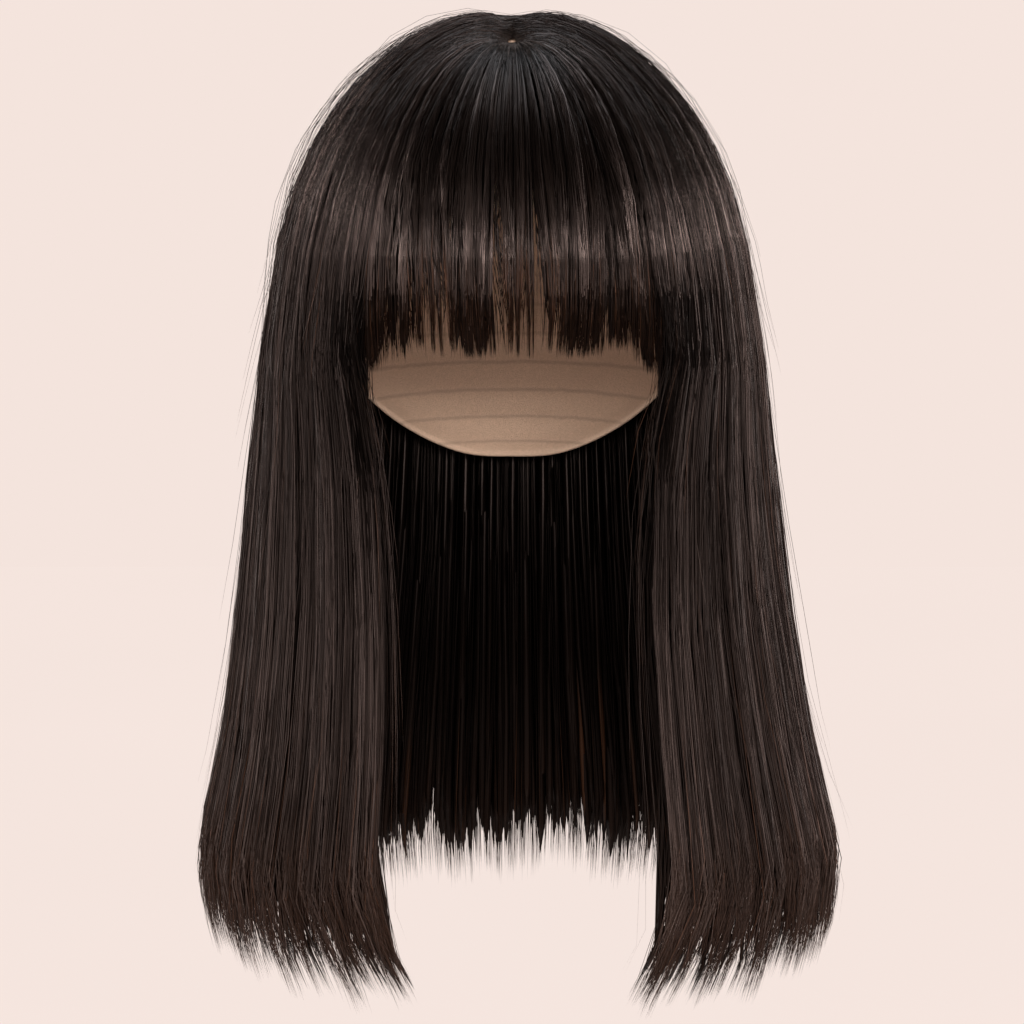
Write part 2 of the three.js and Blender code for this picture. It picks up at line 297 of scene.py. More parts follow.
def read(table, key, column, value):
    """A table's column at a value of its key, on a smooth curve through the rows."""
    keys = np.array(table[key], float)
    rows = np.array(table[column], float)
    slopes = np.gradient(rows, keys)
    if key == "azimuth":
        slopes[[0, -1]] = 0.0
    value = np.clip(value, keys[0], keys[-1])
    row = np.clip(np.searchsorted(keys, value, side="right") - 1, 0, len(keys) - 2)
    step = keys[row + 1] - keys[row]
    way = (value - keys[row]) / step
    back = 1.0 - way
    start = back * back * ((1.0 + 2.0 * way) * rows[row] + way * step * slopes[row])
    end = way * way * ((1.0 + 2.0 * back) * rows[row + 1] - back * step * slopes[row + 1])
    return start + end


def head_height(x, y, margin):
    """The height of the head's upper half over a point, with the head grown by a margin."""
    across = x / (HEAD_HALF_WIDTH + margin)
    along = y / (HEAD_HALF_LENGTH + margin)
    rise = np.sqrt(np.maximum(0.0, 1.0 - across ** 2 - along ** 2))
    return (HEAD_HEIGHT + margin) * rise - HEAD_HEIGHT


def outline(width, front, back, azimuth):
    """A point of a level outline, half an ellipse in front of the ears and half a deeper one behind."""
    angle = np.radians(azimuth)
    forward = np.cos(angle)
    return width * np.sin(angle), -forward * np.where(forward > 0.0, front, back)


def from_forehead(azimuth):
    """The angle between an azimuth and the forehead, on either side of the head."""
    return np.abs((azimuth + 180.0) % 360.0 - 180.0)


def parting_y(azimuth):
    """The point of the parting that hair at this azimuth is combed from."""
    return lerp(PARTING_FRONT, PARTING_BACK, smooth(from_forehead(azimuth), FRINGE_EDGE, BACK_EDGE))


def closed_parting(root_y):
    """0 at the open front of the parting, and 1 behind it, where the hair closes over it."""
    return smooth(root_y, *(PARTING_FRONT + behind for behind in CLOSES_BEHIND))


def beside_fringe(azimuth):
    """0 at the middle of the fringe, and 1 beside it."""
    return smooth(from_forehead(azimuth), *BESIDE_FRINGE)


def crown_points(azimuth, way, depth, root):
    """Places on the crown, from the parting at 0 to the start of the fall at 1."""
    around = from_forehead(azimuth)
    swell = read(CROWN, "azimuth", "swell", around)
    turn = np.radians(read(CROWN, "azimuth", "turn", around))
    angle = turn * way
    out = np.sin(angle) / np.sin(turn)
    down = (1.0 - np.cos(angle)) / (1.0 - np.cos(turn))
    root_y = parting_y(azimuth)

    def on_ray(width, front, back):
        end_x, end_y = outline(width, front, back, azimuth)
        line_x, line_y = end_x, end_y - root_y
        length = np.hypot(line_x, line_y)
        reach = root + (length - root) * out
        return line_x / length * reach, root_y + line_y / length * reach, reach

    outer_x, outer_y, reach = on_ray(FALL["width"][0], FALL["front"][0], FALL["back"][0])
    top = head_height(0.0, root_y, CAP_WALL) + ROOT_THICKNESS + swell
    dip = (swell + ROOT_SINK) * lerp(1.0, CLOSED_DIP, closed_parting(root_y))
    rise_length = lerp(*SWELL_LENGTH, beside_fringe(azimuth))
    outer_z = top - (top + FIRST_DROP) * down - dip * np.exp(-np.abs(reach) / rise_length)
    inner_x, inner_y, _ = on_ray(FALL["inner_width"][0], FALL["inner_front"][0], FALL["inner_back"][0])
    inner_z = head_height(inner_x, inner_y, CAP_WALL + HAIR_GAP)
    return np.stack([
        lerp(outer_x, inner_x, depth),
        lerp(outer_y, inner_y, depth),
        lerp(outer_z, inner_z, depth),
    ], axis=-1)


def fall_points(azimuth, drop, depth):
    """Places in the hanging hair, at a distance under the top of the head."""
    width = lerp(read(FALL, "drop", "width", drop), read(FALL, "drop", "inner_width", drop), depth)
    front = lerp(read(FALL, "drop", "front", drop), read(FALL, "drop", "inner_front", drop), depth)
    back = lerp(read(FALL, "drop", "back", drop), read(FALL, "drop", "inner_back", drop), depth)
    x, y = outline(width, front, back, azimuth)
    return np.stack([x, y, -drop], axis=-1)


def fringe_azimuth(share, drop):
    return lerp(-FRINGE_EDGE, FRINGE_EDGE, share)


def left_azimuth(share, drop):
    beside_face = smooth(drop, *FREE_EDGE["narrows"])
    share = np.where(share < 0.0, share * lerp(1.0, FREE_EDGE["narrow"], beside_face), share)
    return lerp(read(FALL, "drop", "edge", drop), BACK_EDGE, share)


def right_azimuth(share, drop):
    return -left_azimuth(share, drop)


def back_azimuth(share, drop):
    return lerp(BACK_EDGE, 360.0 - BACK_EDGE, share)


# Each fall: how it lies round the head, its width, thickness and hem, its locks, its tufts and wisps, how
# much shorter a tuft or a strand may be, how far the strands of a wisp draw together on the way, at the tips
# of a full lock and at those of a thin one, how far those of a tuft do at the hem, how far a wisp and a
# strand lean across their neighbours, and whether its first edge stands free beside the face or its tips turn
# in. A fall with a free edge also says which share of it takes painted shade beside the fringe, where the
# edge lies and how far its hem stands aside.
FRINGE = {
    "azimuth": fringe_azimuth, "arc": 0.118, "thick": 0.0062, "hem": 0.1200, "locks": "fringe", "tufts": 24,
    "wisps": 48, "tuft_short": 0.002, "strand_short": 0.002, "wisp_pull": (0.35, 0.45, 0.62),
    "tuft_pull": 0.0, "lean": (0.0010, 0.0003), "free_edge": False, "turns_in": True,
}
SIDE = {
    "arc": 0.185, "thick": 0.016, "hem": 0.3845, "locks": "side", "tufts": 22,
    "wisps": 170, "tuft_short": 0.008, "strand_short": 0.005, "wisp_pull": (0.65, 0.7, 0.7),
    "tuft_pull": 0.75, "lean": (0.0014, 0.0006), "free_edge": True, "turns_in": False,
}
BACK = {
    **SIDE, "azimuth": back_azimuth, "arc": 0.30, "hem": 0.381, "locks": "back", "tufts": 60,
    "wisps": 250, "strand_short": 0.009, "tuft_pull": 0.2, "free_edge": False,
}
FALLS = {
    "fringe": FRINGE,
    "side_hair_left": {
        **SIDE, "azimuth": left_azimuth, "hem": 0.388, "painted_shade": 0.42, "edge": (0.030, 0.062),
        "aside": 0.0085,
    },
    "side_hair_right": {
        **SIDE, "azimuth": right_azimuth, "painted_shade": 0.16, "edge": (0.008, 0.030), "aside": 0.002,
    },
    "back_hair": BACK,
}


def lock_at(locks, share):
    """The lock that a share of a fall's width lies in, and how far across the lock."""
    widths = np.array(locks["width"][:-1], float)
    starts = np.concatenate([[0.0], np.cumsum(widths)]) / widths.sum()
    lock = np.clip(np.searchsorted(starts, share, side="right") - 1, 0, len(widths) - 1)
    within = np.clip((share - starts[lock]) / (starts[lock + 1] - starts[lock]), 0.0, 1.0)
    return lock, within


def groove_at(locks, share):
    """How deep the grooves between locks press the hair in."""
    lock, within = lock_at(locks, share)
    grooves = np.array(locks["groove"])
    before = grooves[lock] * (1.0 - smooth(within, 0.0, LOCK_CRESTS[0]))
    return before + grooves[lock + 1] * smooth(within, LOCK_CRESTS[1], 1.0)


def fringe_tip_share(share):
    """Where a strand of the fringe ends across it: the strands of a lock draw together and leave gaps."""
    lock, within = lock_at(LOCKS["fringe"], share)
    tip_x = lerp(np.array(FRINGE_TIPS["from"])[lock], np.array(FRINGE_TIPS["to"])[lock], within)
    half_width = read(FALL, "drop", "width", FRINGE["hem"])
    return 0.5 + 0.5 * np.degrees(np.arcsin(tip_x / half_width)) / FRINGE_EDGE


def side_by_side(count, jitter, rng):
    """Uneven places over a fall's width and a little past its edges."""
    place = (np.arange(count) + 0.5 + rng.uniform(-jitter, jitter, count)) / count
    return lerp(-EDGE_OVERLAP, 1.0 + EDGE_OVERLAP, place)


def tuft_table(fall, rng):
    """The tufts that all layers of a fall share: where each lies and how it differs in length and depth."""
    count = fall["tufts"]
    return {
        "centre": side_by_side(count, 0.45, rng),
        "short": rng.uniform(0.0, fall["tuft_short"], count),
        "pull": rng.uniform(0.3, 1.3, count),
        "depth": rng.uniform(-0.0006, 0.0008, count) / fall["thick"],
        "tone": rng.uniform(0.0, 0.15, count),
    }


def wisp_table(fall, rng):
    """The wisps of one layer: where each lies, and its tightness, lean, gloss, wave, depth and tone."""
    count = fall["wisps"]
    return {
        "centre": side_by_side(count, 0.38, rng),
        "pull": rng.uniform(0.6, 1.15, count),
        "lean": rng.normal(0.0, fall["lean"][0], count) / fall["arc"],
        "lit": rng.random(count) < LIT_SHARE,
        "wave": rng.uniform(0.0003, 0.0012, count) / fall["arc"],
        "turns": rng.uniform(0.6, 1.6, count),
        "phase": rng.uniform(0.0, 2.0 * math.pi, count),
        "depth": rng.uniform(-0.0004, 0.0006, count) / fall["thick"],
        "tone": rng.uniform(0.0, 0.35, count),
    }


def nearest(centres, share):
    """Which of some centres lies nearest to each share."""
    return np.searchsorted(0.5 * (centres[1:] + centres[:-1]), share)


def nearest_in_lock(centres, share, lock, locks):
    """Which of some centres lies nearest to each share, in the share's own lock if a neighbour does."""
    near = nearest(centres, share)
    home, _ = lock_at(locks, centres)
    for step in (1, -1):
        other = np.clip(near + step, 0, len(centres) - 1)
        near = np.where((home[near] != lock) & (home[other] == lock), other, near)
    return near


def strand_steps(layer, start, tip_drop, rng):
    """Steps along strands, closer together at the root, on the bend and at the tip, with each step's share of
    the strand and its distance under the top of the head."""
    crown_count, fall_count = layer["points"]
    count = len(start)
    crown_steps = np.arange(crown_count) / crown_count
    fall_steps = np.arange(fall_count) / (fall_count - 1)
    shift = rng.uniform(-POINT_SHIFT, POINT_SHIFT, (count, crown_count)) / crown_count
    shift[:, 0] = 0.0
    on_crown = lerp(start[:, None], 1.0, (crown_steps + shift) ** ROOT_CROWDING)
    shift = rng.uniform(-POINT_SHIFT, POINT_SHIFT, (count, fall_count)) / fall_count
    shift[:, [0, -1]] = 0.0
    last = 1.0 + (tip_drop - FIRST_DROP) / FALL_STEP
    on_fall = lerp(1.0, last[:, None], 0.5 - 0.5 * np.cos(math.pi * (fall_steps + shift)))
    along = np.concatenate([on_crown, on_fall], axis=1)
    length = CROWN_LENGTH * np.minimum(along, 1.0) + FALL_STEP * np.maximum(along - 1.0, 0.0)
    run = (length - length[:, :1]) / (length[:, -1:] - length[:, :1])
    return along, run, FIRST_DROP + np.maximum(along - 1.0, 0.0) * FALL_STEP


def outward_from_head(paths):
    """Away from the head's middle on the crown, and straight out from the neck below it."""
    middle = np.zeros_like(paths)
    middle[:, :, 2] = np.minimum(paths[:, :, 2], -HEAD_HEIGHT)
    out = paths - middle
    return out / np.linalg.norm(out, axis=2, keepdims=True)


class StrandLayer:
    """One layer of the strands of a fall, as arrays with a row for each strand."""

    def __init__(self, name, layer, tufts, hair, rng):
        self.fall = FALLS[name]
        self.layer = layer
        self.loose = layer["loose"] > 0.0
        self.locks = LOCKS[self.fall["locks"]]
        self.tufts = tufts
        self.wisps = wisp_table(self.fall, rng)
        self.scatter(rng)
        self.step_along(rng)
        self.spread_across(rng)
        self.settle(rng)
        self.lay_paths(hair, rng)
        self.choose_looks(hair, rng)

    def scatter(self, rng):
        """Spreads the strands over the fall's width, fewer in thin locks."""
        count = self.layer["count"]
        share = lerp(self.layer["from"], 1.0 + EDGE_OVERLAP, (np.arange(count) + rng.random(count)) / count)
        lock, _ = lock_at(self.locks, share)
        full = np.array(self.locks["full"])[lock]
        kept = rng.random(count) < full ** self.layer["thinned"]
        self.share, self.lock, self.full = share[kept], lock[kept], full[kept]
        self.count = len(self.share)
        self.tuft = nearest(self.tufts["centre"], self.share)
        self.wisp = nearest_in_lock(self.wisps["centre"], self.share, self.lock, self.locks)
        self.start = rng.uniform(*self.layer["start"], self.count)

    def step_along(self, rng):
        """The points along each strand, closer together at the root, on the bend and at the tip."""
        off_tuft = 2.0 * (self.share - self.tufts["centre"][self.tuft]) * self.fall["tufts"]
        notch = TUFT_HEM_NOTCH * self.fall["tuft_pull"] * np.minimum(off_tuft ** 2, 1.0)
        own = np.minimum(rng.exponential(self.fall["strand_short"], self.count), MOST_SHORT)
        short = np.array(self.locks["tip"])[self.lock] + self.tufts["short"][self.tuft] + notch + own
        short = short + self.layer["short"] + self.layer["ragged"] * rng.random(self.count)
        thin = self.layer["thin_short"] * (1.0 - self.full)
        short = short + thin * rng.uniform(*THIN_SHORT_SPREAD, self.count)
        if self.fall["turns_in"]:
            from_end = np.minimum(self.share, 1.0 - self.share)
            short = short - FRINGE_END["longer"] * (1.0 - smooth(from_end, 0.0, FRINGE_END["share"]))
        tip_drop = np.maximum(self.fall["hem"] - short, FIRST_DROP + LEAST_HANG)
        self.along, self.run, self.drop = strand_steps(self.layer, self.start, tip_drop, rng)

    def spread_across(self, rng):
        """How far across its fall each point of each strand lies."""
        fall, run = self.fall, self.run
        tufts, tuft, wisps, wisp = self.tufts, self.tuft, self.wisps, self.wisp
        on_way, full_tip, thin_tip = fall["wisp_pull"]
        at_tip = lerp(thin_tip, full_tip, smooth(self.full, 0.45, 1.0))[:, None]
        pull = lerp(on_way * smooth(run, 0.0, 0.15), at_tip, smooth(run, 0.6, 1.0))
        gathered = LOOSE_GATHERED if self.loose else 1.0
        pull = np.minimum(pull * gathered * wisps["pull"][wisp][:, None], 0.95)
        place = self.share[:, None] + (wisps["centre"][wisp] - self.share)[:, None] * pull
        pull = TUFT_CROWN_PULL * smooth(run, 0.0, 0.12) * (1.0 - smooth(run, 0.25, 0.55))
        pull = pull + fall["tuft_pull"] * smooth(fall["hem"] - self.drop, TUFT_HEM_LENGTH, 0.0)
        pull = np.minimum(pull * tufts["pull"][tuft][:, None], 0.9)
        place = place + (tufts["centre"][tuft][:, None] - place) * pull
        if fall["locks"] == "fringe":
            aside = (fringe_tip_share(self.share) - self.share)[:, None]
            place = place + gathered * aside * smooth(run, 0.5, 0.95)
        place = place + wisps["lean"][wisp][:, None] * smooth(run, 0.3, 1.0)
        bends = smooth(run, 0.2, 0.5)
        turn = 2.0 * math.pi * wisps["turns"][wisp][:, None] * run + wisps["phase"][wisp][:, None]
        place = place + wisps["wave"][wisp][:, None] * np.sin(turn) * bends
        own_wave = rng.uniform(0.0001, 0.0004, self.count) / fall["arc"]
        own_turn = rng.uniform(0.8, 2.2, self.count)[:, None] * run + rng.random(self.count)[:, None]
        place = place + own_wave[:, None] * np.sin(2.0 * math.pi * own_turn) * bends
        crossing = rng.random(self.count) < CROSSING["share"]
        drift = rng.normal(0.0, 1.0, self.count) * np.where(crossing, CROSSING["reach"], fall["lean"][1])
        if self.loose:
            drift = drift + rng.normal(0.0, LOOSE_DRIFT * self.layer["loose"], self.count)
        place = place + drift[:, None] / fall["arc"] * run ** 1.5
        if fall["free_edge"]:
            edge = 1.0 - smooth(self.share, 0.0, FREE_EDGE["share"])
            edge = edge[:, None] * smooth(self.drop, *FREE_EDGE["opens"])
            stray = FREE_EDGE["loose_stray"] * run ** 2 if self.loose else FREE_EDGE["stray"]
            place = place + np.abs(rng.normal(0.0, 1.0, self.count))[:, None] * stray * edge
            back_to_edge = FREE_EDGE["comes_back"] * max(self.layer["from"], 0.0)
            back_to_edge = back_to_edge * smooth(self.drop, *FREE_EDGE["back_over"])
            place = place - back_to_edge * (1.0 - self.share)[:, None]
            if not self.loose:
                edge = rng.uniform(*fall["edge"], self.count)[:, None]
                edge = lerp(FREE_EDGE["under_fringe"], edge, smooth(self.drop, *FREE_EDGE["clears"]))
                place = np.maximum(place, edge)
        self.place = place

    def settle(self, rng):
        """How deep in the hair each point of each strand lies."""
        fall, run = self.fall, self.run
        depth = rng.uniform(*self.layer["depth"], self.count)[:, None]
        off_wisp = 2.0 * (self.place - self.wisps["centre"][self.wisp][:, None]) * fall["wisps"]
        off_tuft = 2.0 * (self.place - self.tufts["centre"][self.tuft][:, None]) * fall["tufts"]
        pressed = WISP_ROUNDING * np.minimum(off_wisp ** 2, 1.0)
        pressed = pressed + TUFT_ROUNDING * np.minimum(off_tuft ** 2, 1.0)
        pressed = (pressed + groove_at(self.locks, self.place)) / fall["thick"]
        pressed = pressed + (self.wisps["depth"][self.wisp] + self.tufts["depth"][self.tuft])[:, None]
        lies = depth + pressed * smooth(run, 0.0, 0.15) * (1.0 - depth)
        rooted_low = (self.start > LOW_ROOT["from"])[:, None]
        rising = lerp(LOW_ROOT["depth"], lies, smooth(run, 0.0, LOW_ROOT["rises"]))
        lies = np.where(rooted_low, rising, lies)
        lies = np.minimum(lies, lerp(NEXT_TO_CAP, 1.0, smooth(self.drop, *CAP_ENDS)))
        if fall["turns_in"]:
            first = TURN_IN["from"]
            turned = np.clip((self.drop - first) / (fall["hem"] - first), 0.0, 1.0) ** 2
            middle = 1.0 - smooth(np.abs(self.place - 0.5), *TURN_IN["fades"])
            lies = lerp(lies, TURN_IN["depth"], lerp(TURN_IN["ends"], TURN_IN["middle"], middle) * turned)
        if fall["free_edge"]:
            edge = FREE_EDGE["round"] * (1.0 - smooth(self.place, 0.0, FREE_EDGE["round_share"]))
            lies = lerp(lies, FREE_EDGE["round_depth"], edge * smooth(self.drop, *FREE_EDGE["round_over"]))
        self.lies = lies

    def lay_paths(self, hair, rng):
        """The points of each strand in space."""
        fall, run, count = self.fall, self.run, self.count
        azimuth = fall["azimuth"](self.place, self.drop)
        closed = closed_parting(parting_y(azimuth))
        fringe_root, open_root, closed_root = (
            rng.uniform(*reach, count)[:, None] for reach in (FRINGE_ROOT, OPEN_ROOT, CLOSED_ROOT))
        root = lerp(lerp(fringe_root, open_root, beside_fringe(azimuth)), closed_root, closed)
        on_top = crown_points(azimuth, np.minimum(self.along, 1.0), self.lies, root)
        hanging = fall_points(azimuth, self.drop, self.lies)
        paths = np.where((self.along <= 1.0)[:, :, None], on_top, hanging)
        if fall["free_edge"]:
            aside = fall["aside"] * smooth(self.drop, *ASIDE["drops"])
            aside = aside * (1.0 - smooth(self.share, *ASIDE["fades"]))[:, None]
            paths[:, :, 0] += np.sign(paths[:, :, 0]) * aside
            sweep = hair.hem_sweep * smooth(self.drop, fall["hem"] - SWEEP["length"], fall["hem"]) ** 1.5
            off_face = smooth(np.abs(paths[:, :, 0]), *SWEEP["across"])
            sweep = sweep * lerp(SWEEP["near"], SWEEP["far"], off_face)
            paths[:, :, 0] -= np.sign(paths[:, :, 0]) * sweep
        if self.loose:
            leaves = rng.uniform(0.0, LOOSE_LEAVES, count)[:, None]
            off = np.clip((run - leaves) / (1.0 - leaves), 0.0, 1.0) ** 1.6
            bows = rng.random(count)[:, None] < BOW["share"]
            off = np.where(bows, BOW["rise"] * np.sin(math.pi * np.clip(run / BOW["length"], 0.0, 1.0)), off)
            stand_off = self.layer["loose"] * rng.random(count)[:, None] ** 1.3 * off
            paths = paths + outward_from_head(paths) * stand_off[:, :, None]
        self.paths = paths

    def choose_looks(self, hair, rng):
        """Each strand's thickness, tone and finish. More are coppery in thin locks, as painted light shining
        through, and if loose.
        """
        tone = self.tufts["tone"][self.tuft] + self.wisps["tone"][self.wisp]
        tone = tone + rng.uniform(0.0, STRAND_TONE, self.count)
        # Thin locks get more coppery strands: painted light shining through them.
        likely = hair.copper_share + PAINTED_GLOW_IN_THIN_LOCKS * (1.0 - self.full) + (LOOSE_COPPER if self.loose else 0.0)
        coppery = rng.random(self.count) < likely
        self.tone = np.where(coppery, rng.uniform(*COPPER_TONE, self.count), tone)
        self.thick = hair.strand_radius * self.layer["size"] * rng.uniform(*STRAND_THICKNESS, self.count)
        lit = self.wisps["lit"][self.wisp].astype(int)
        # The deep layers take the darker, duller finish: painted shade inside the hair.
        self.finish = np.full(self.count, PAINTED_SHADE_FINISH) if self.layer["deep"] else lit
        # Below this drop a strand's faces take the darker, duller finish as painted shade; only the fringe's
        # tips do.
        self.painted_shade_drop = np.full(self.count, 1.0)
        if self.fall["turns_in"]:
            self.painted_shade_drop = rng.uniform(*PAINTED_SHADE_DROPS, self.count)
        self.painted_shade = np.zeros(self.count, bool)
        # Side-fall strands near the fringe get painted shade, all over the first part of their share and fewer
        # after it.
        if self.fall["free_edge"]:
            painted_shade_to = self.fall["painted_shade"]
            self.painted_shade = rng.random(self.count) > smooth(self.share, PAINTED_SHADE_FULL * painted_shade_to, painted_shade_to)
        self.painted_shade_from = rng.uniform(*PAINTED_SHADE_FROM, self.count)

    def face_finishes(self):
        """Each face's finish: its strand's own, or the dull one as painted shade at the turned tips and beside
        them.
        """
        rings = self.paths.shape[1]
        ring = np.concatenate([np.repeat(np.arange(rings - 2), SIDES), np.full(SIDES, rings - 2), [0]])
        drop = self.drop[:, ring]
        # Painted shade beside the fringe's tips, from a point along the strand down to the fringe's hem.
        painted_shade_beside_tips = self.painted_shade[:, None] & (self.along[:, ring] >= self.painted_shade_from[:, None])
        painted_shade_beside_tips = painted_shade_beside_tips & (drop < FRINGE["hem"])
        # Painted shade: the dull finish below the strand's drop and beside the fringe's tips.
        turned = (drop > self.painted_shade_drop[:, None]) | painted_shade_beside_tips
        return np.where(turned, PAINTED_SHADE_FINISH, self.finish[:, None]).ravel()


def strand_arrays(strands, rng):
    """Vertices, faces and map of tapered strands, each a closed three-sided tube along its path."""
    paths, run, flat = strands.paths, strands.run, strands.layer["flat"]
    count, rings, _ = paths.shape
    forward = np.gradient(paths, axis=1)
    forward /= np.linalg.norm(forward, axis=2, keepdims=True)
    across = np.cross(outward_from_head(paths), forward)
    across /= np.linalg.norm(across, axis=2, keepdims=True)
    outward = np.cross(forward, across)

    taper = lerp(ROOT_TAPER, 1.0, smooth(run, 0.0, ROOT_TAPER_LENGTH))
    taper = taper * lerp(1.0, TIP_TAPER, smooth(run, strands.layer["taper"], 1.0))
    radius = strands.thick[:, None] * taper
    turned = np.zeros(count) if flat < 1.0 else rng.uniform(0.0, 2.0 * math.pi, count)
    corner = turned[:, None] + FIRST_CORNER + 2.0 * math.pi / SIDES * np.arange(SIDES)
    wide = np.cos(corner)[:, None, :, None] * across[:, :-1, None, :]
    high = flat * np.sin(corner)[:, None, :, None] * outward[:, :-1, None, :]
    ring = paths[:, :-1, None, :] + radius[:, :-1, None, None] * (wide + high)
    points = np.concatenate([ring.reshape(count, -1, 3), paths[:, -1:, :]], axis=1)

    per_strand = points.shape[1]
    level = SIDES * np.arange(rings - 2)[:, None]
    corner_now = np.arange(SIDES)[None, :]
    corner_next = (corner_now + 1) % SIDES
    quads = np.stack([level + corner_now, level + corner_next,
                      level + SIDES + corner_next, level + SIDES + corner_now], axis=-1).reshape(-1, 4)
    last = SIDES * (rings - 2)
    tips = np.array([[last + c, last + (c + 1) % SIDES, per_strand - 1] for c in range(SIDES)])
    base = np.arange(SIDES)[::-1]
    loops = np.concatenate([quads.ravel(), tips.ravel(), base])
    totals = np.concatenate([np.full(len(quads), 4), np.full(len(tips), 3), [3]])

    left = np.broadcast_to(corner_now, (rings - 2, SIDES))
    u_quads = np.stack([left, left + 1, left + 1, left], axis=-1).reshape(-1, 4)
    u_tips = np.array([[c, c + 1, c + 0.5] for c in range(SIDES)])
    u_loops = np.concatenate([u_quads.ravel(), u_tips.ravel(), base]) / SIDES * UV_WIDTH
    v_loops = run[:, np.minimum(loops // SIDES, rings - 1)]
    v_loops[:, -3] += UV_WIDTH
    tone = np.clip(strands.tone, 0.0, 1.0 - UV_WIDTH)
    uvs = np.stack([tone[:, None] + u_loops[None, :], v_loops], axis=-1)

    offset = per_strand * np.arange(count)[:, None]
    all_loops = (loops[None, :] + offset).ravel()
    return points.reshape(-1, 3), all_loops, np.tile(totals, count), uvs.reshape(-1, 2)


def strand_object(name, layers, rng):
    """One object of all the strands of some layers."""
    points, loops, totals, uvs, finishes = [], [], [], [], []
    offset = 0
    for strands in layers:
        layer_points, layer_loops, layer_totals, layer_uvs = strand_arrays(strands, rng)
        points.append(layer_points)
        loops.append(layer_loops + offset)
        totals.append(layer_totals)
        uvs.append(layer_uvs)
        finishes.append(strands.face_finishes())
        offset += len(layer_points)
    ends = np.cumsum(np.concatenate(totals))
    mesh = bpy.data.meshes.new(name)
    mesh.vertices.add(offset)
    mesh.vertices.foreach_set("co", np.concatenate(points).astype(np.float32).ravel())
    mesh.loops.add(int(ends[-1]))
    mesh.loops.foreach_set("vertex_index", np.concatenate(loops).astype(np.int32))
    mesh.polygons.add(len(ends))
    mesh.polygons.foreach_set("loop_start", np.concatenate([[0], ends[:-1]]).astype(np.int32))
    mesh.polygons.foreach_set("material_index", np.concatenate(finishes).astype(np.int32))
    mesh.update(calc_edges=True)
    mesh.shade_smooth()
    strand_map = mesh.uv_layers.new(name=STRAND_MAP)
    strand_map.uv.foreach_set("vector", np.concatenate(uvs).astype(np.float32).ravel())
    obj = bpy.data.objects.new(name, mesh)
    bpy.context.scene.collection.objects.link(obj)
    return obj


class NodeBench:
    """The node tree of a material or a world, with short calls that add a node and join it up."""

    def __init__(self, owner):
        owner.use_nodes = True
        self.owner = owner
        self.nodes = owner.node_tree.nodes
        self.links = owner.node_tree.links

    def add(self, kind, settings=None, **inputs):
        """Adds a node. A setting is an attribute, and an input is a value or another node's socket."""
        node = self.nodes.new(kind)
        for key, value in (settings or {}).items():
            setattr(node, key, value)
        return self.fill(node, **inputs)

    def fill(self, node, **inputs):
        """Feeds a node's inputs, which are called by name or by number."""
        for key, value in inputs.items():
            socket = node.inputs[int(key[1:]) if key[1:].isdigit() else key.replace("_", " ")]
            if isinstance(value, bpy.types.NodeSocket):
                self.links.new(value, socket)
            else:
                socket.default_value = value
        return node

    def finish(self, **inputs):
        """Feeds the shader and gives the finished material."""
        self.fill(self.nodes["Principled BSDF"], **inputs)
        return self.owner

    def rise(self, value, span, low, high):
        """A value that goes from low to high over a span of another."""
        node = self.add("ShaderNodeMapRange", Value=value, From_Min=span[0], From_Max=span[1], To_Min=low,
                        To_Max=high)
        return node.outputs["Result"]

    def mix(self, share, first, second):
        """A colour that goes from the first to the second with a share."""
        node = self.add("ShaderNodeMix", {"data_type": "RGBA"}, _0=share, _6=first, _7=second)
        return node.outputs[2]

    def ramp(self, value, stops):
        """A colour ramp through (position, colour) stops."""
        node = self.add("ShaderNodeValToRGB", Fac=value)
        elements = node.color_ramp.elements
        while len(elements) < len(stops):
            elements.new(0.5)
        for element, (position, colour) in zip(elements, stops):
            element.position = position
            element.color = (*colour, 1.0)
        return node.outputs["Color"]


def hair_material(name, hair, shade, gloss):
    """Near-black brown hair: u of the strand map is its tone, and v runs from its root, which is lighter, to
    its tip, which is painted lighter and coppery as light shining through it."""
    bench = NodeBench(bpy.data.materials.new(name))
    strand_map = bench.add("ShaderNodeUVMap", {"uv_map": STRAND_MAP})
    split = bench.add("ShaderNodeSeparateXYZ", Vector=strand_map.outputs["UV"])
    own_tone, along = split.outputs["X"], split.outputs["Y"]
    dark, brown, copper, root = (
        shade * np.array(colour) for colour in (hair.dark, hair.brown, hair.copper, hair.root))
    from_root = bench.rise(along, TONE_SHOWS["span"], TONE_SHOWS["root"], 1.0)
    shown = bench.add("ShaderNodeMath", {"operation": "MULTIPLY"}, _0=own_tone, _1=from_root)
    tone = bench.ramp(shown.outputs["Value"], ((0.0, dark), (BROWN_TONE, brown), (1.0, copper)))
    # The tips are painted lighter and coppery: painted light shining through them.
    at_tip = bench.rise(along, PAINTED_TIP_GLOW["span"], 0.0, PAINTED_TIP_GLOW["share"] * shade)
    with_painted_tip_glow = bench.mix(at_tip, tone, (*copper, 1.0))
    at_root = bench.rise(along, LIGHT_ROOT["span"], LIGHT_ROOT["share"], 0.0)
    rooted = bench.mix(at_root, with_painted_tip_glow, (*root, 1.0))
    return bench.finish(Base_Color=rooted, Roughness=hair.roughness, Specular_IOR_Level=gloss,
                        Specular_Tint=(*hair.sheen, 1.0))


def hair_materials(hair):
    """The hair outside, the wisps there that catch the light, and the darker, duller hair that paints shade,
    made once.
    """
    for name, (shade, gloss) in FINISHES.items():
        if name not in bpy.data.materials:
            hair_material(name, hair, shade, gloss * hair.gloss)
    return [bpy.data.materials[name] for name in FINISHES]


def dress(obj, materials, node):
    """Gives a piece its materials and its body, and hides the solid that it stands for."""
    for material in materials:
        obj.data.materials.append(material)
    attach(obj, BODY)
    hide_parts(node)


